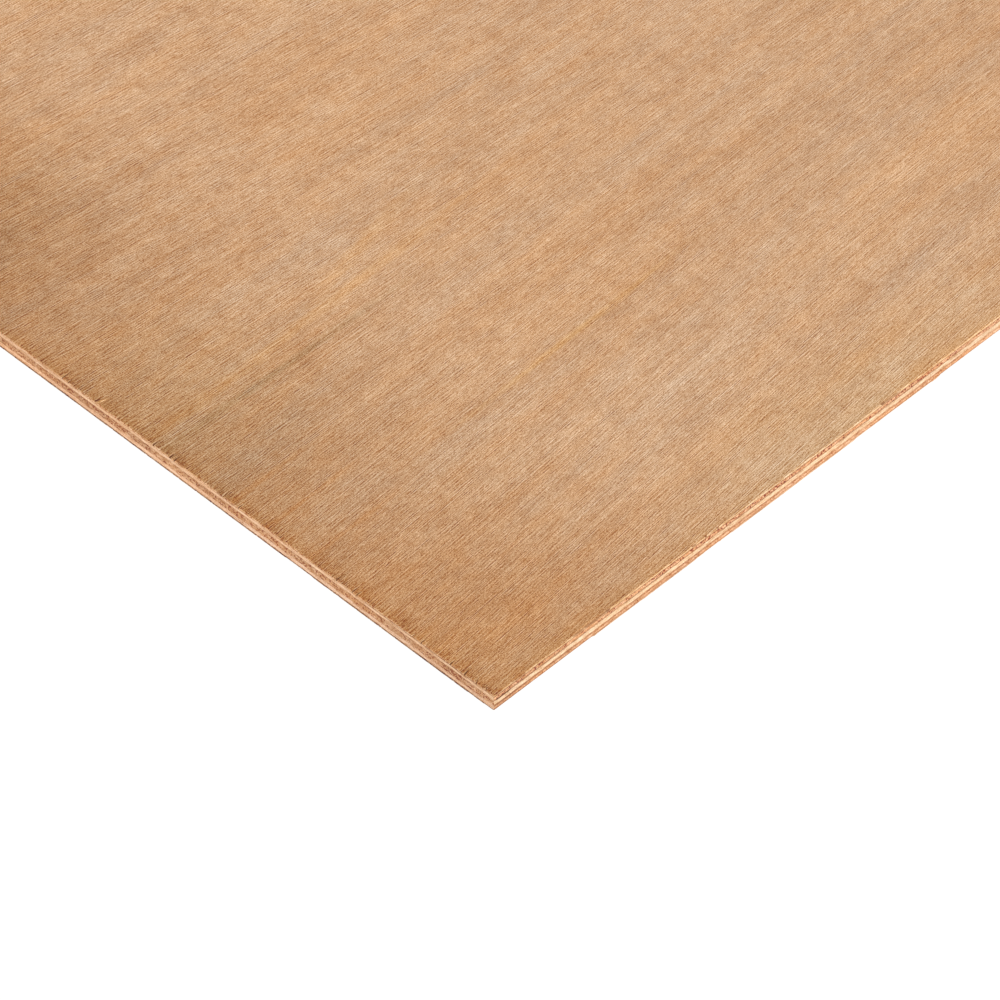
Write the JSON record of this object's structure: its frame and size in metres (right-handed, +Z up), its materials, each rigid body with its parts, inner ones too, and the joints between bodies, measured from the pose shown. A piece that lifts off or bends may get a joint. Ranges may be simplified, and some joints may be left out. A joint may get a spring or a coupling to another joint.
{
  "type": "plywood sheet",
  "caption": "Full rectangular sheet of thin hardwood plywood with crossed veneers, sanded reddish-tan faces and sawn edges that show the layers.",
  "frame": {"origin": "middle of the underside, on the surface that the sheet lies on", "axes": "+X along the long side, which is the grain of the face, +Y along the short side, +Z up out of the face"},
  "size_m": [2.44, 1.22, 0.0055],
  "materials": {
    "face_veneer": "matte",
    "crossband": "matte",
    "core_veneer": "matte",
    "back_veneer": "matte"
  },
  "bodies": {
    "root": {"back_veneer": "back_veneer", "lower_crossband": "crossband", "core_veneer": "core_veneer", "upper_crossband": "crossband", "face_veneer": "face_veneer"}
  },
  "joints": []
}
